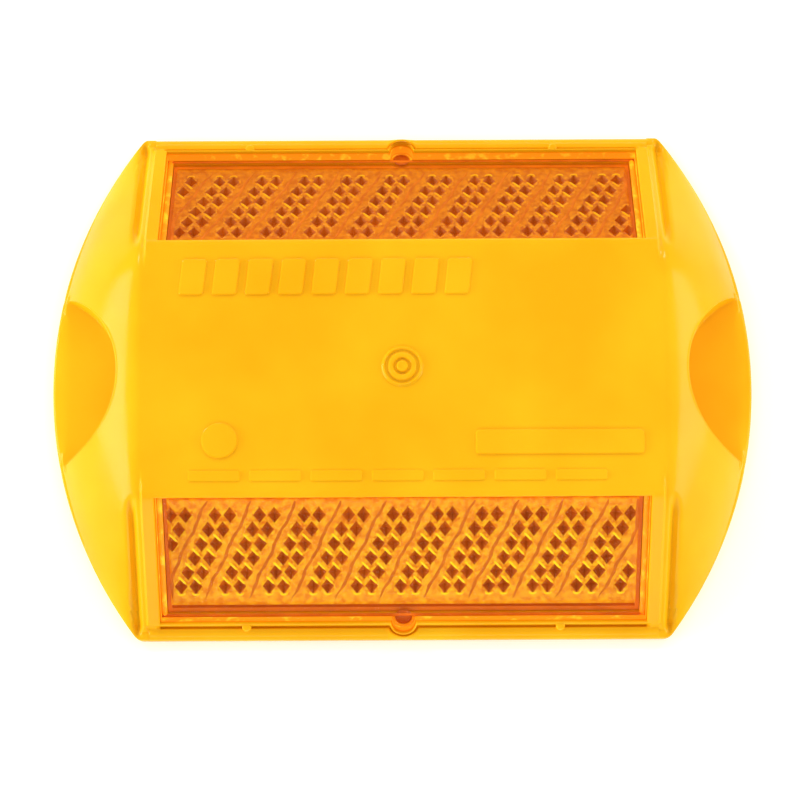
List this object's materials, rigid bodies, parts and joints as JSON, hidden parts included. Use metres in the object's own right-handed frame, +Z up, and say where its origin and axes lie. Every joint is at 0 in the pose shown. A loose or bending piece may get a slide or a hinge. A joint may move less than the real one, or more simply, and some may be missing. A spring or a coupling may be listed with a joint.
{
  "type": "raised pavement marker",
  "caption": "Low road marker with a yellow moulded body, curved finger-gripped ends and an amber prismatic lens welded into each sloping face.",
  "frame": {"origin": "middle of the flat underside, on the road surface", "axes": "+X along the long side, end to end; -Y towards the front lens, +Y towards the rear lens; +Z up"},
  "size_m": [0.119, 0.087, 0.0182],
  "materials": {
    "body_plastic": "satin",
    "lens_acrylic": "gloss",
    "frame_plastic": "satin",
    "weld_acrylic": "gloss"
  },
  "bodies": {
    "root": {"body": "body_plastic", "front_lens": "lens_acrylic", "rear_lens": "lens_acrylic", "front_cell_frame": "frame_plastic", "rear_cell_frame": "frame_plastic", "front_weld_bead": "weld_acrylic", "rear_weld_bead": "weld_acrylic"}
  },
  "joints": []
}
